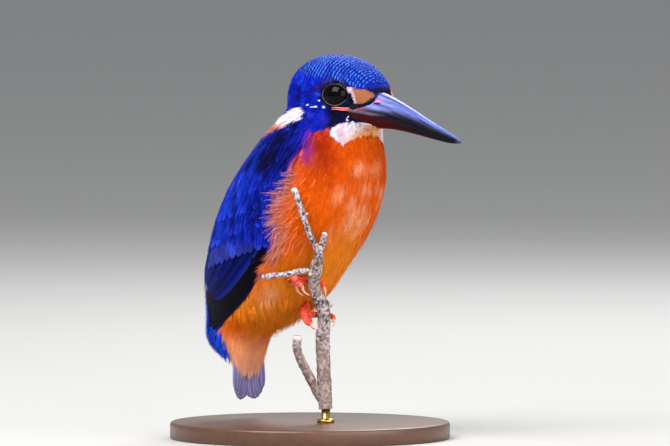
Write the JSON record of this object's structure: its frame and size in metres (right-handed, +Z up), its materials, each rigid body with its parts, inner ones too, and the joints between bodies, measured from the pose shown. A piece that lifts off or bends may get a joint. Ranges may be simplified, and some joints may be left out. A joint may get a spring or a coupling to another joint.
{
  "type": "blue-eared kingfisher",
  "caption": "Still life-size kingfisher with a dagger bill, perched upright on a cut stem that a short rod holds over a flat round base.",
  "frame": {"origin": "centre of the stand base's flat underside", "axes": "+Z up, the bird's bill points along -Y, its right side is at -X"},
  "size_m": [0.084, 0.1054, 0.1157],
  "materials": {
    "blue_plumage": "satin feather sheen",
    "azure_plumage": "silky feather sheen",
    "orange_plumage": "soft matte",
    "bill": "smooth horn with a dull gloss",
    "bill_lower": "smooth horn with a dull gloss",
    "eye": "wet gloss",
    "foot": "fine scales",
    "claw": "smooth horn",
    "bark": "dry bark with lichen",
    "base_wood": "satin varnish",
    "rod": "brushed"
  },
  "bodies": {
    "root": {"head": "blue_plumage", "neck": "blue_plumage", "breast": "orange_plumage", "belly": "orange_plumage", "rump": "azure_plumage", "undertail": "orange_plumage", "tail": "blue_plumage", "wing_right": "blue_plumage", "wing_left": "blue_plumage", "bill_upper": "bill", "bill_lower": "bill_lower", "eye_right": "eye", "eye_left": "eye", "foot_right": "foot", "foot_left": "foot", "perch_stem": "bark", "perch_twig_side": "bark", "perch_twig_upper": "bark", "perch_stub_upper": "bark", "perch_stub_lower": "bark", "stand_base": "base_wood", "stand_rod": "rod"}
  },
  "joints": []
}
